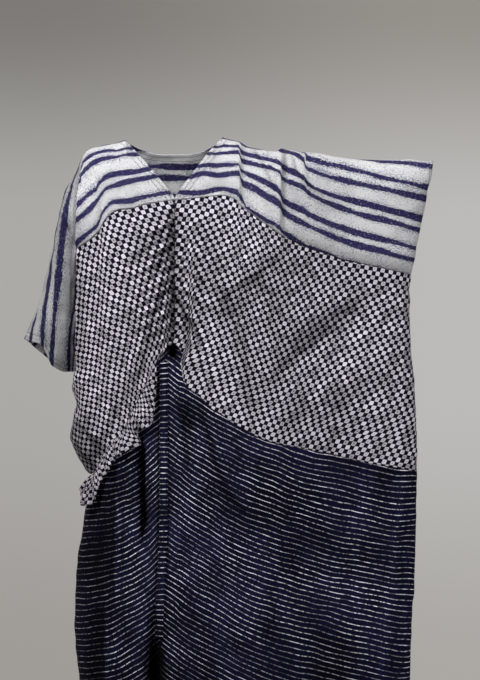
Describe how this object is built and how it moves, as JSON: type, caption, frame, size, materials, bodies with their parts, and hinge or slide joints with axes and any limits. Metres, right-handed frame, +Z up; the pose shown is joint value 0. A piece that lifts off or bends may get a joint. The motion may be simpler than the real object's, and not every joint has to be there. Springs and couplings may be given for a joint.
{
  "type": "caftan dress",
  "caption": "V-neck caftan dress with batwing sleeves: striped yoke, checked body gathered down the centre front, navy skirt with fine white lines, one arm raised",
  "frame": {"origin": "the middle of the neck opening on the shoulder line, where the wearer's shoulders hold the dress", "axes": "+Z up along the body, -Y the front, +X towards the raised sleeve (the wearer's left)"},
  "size_m": [0.7972, 0.3207, 1.3716],
  "materials": {
    "striped_cotton": "off-white slubbed cotton with pairs of rough-edged indigo stripes",
    "checked_cotton": "block-printed cotton, small near-black and white checks",
    "navy_cotton": "indigo-dyed cotton with fine broken white lines"
  },
  "bodies": {
    "root": {"yoke_with_sleeves": "striped_cotton", "checked_front_hanging_side": "checked_cotton", "checked_front_raised_side": "checked_cotton", "checked_back": "checked_cotton", "hip_ruffle": "checked_cotton", "skirt_front_hanging_side": "navy_cotton", "skirt_front_raised_side": "navy_cotton", "skirt_back": "navy_cotton", "centre_strip": "navy_cotton"}
  },
  "joints": []
}
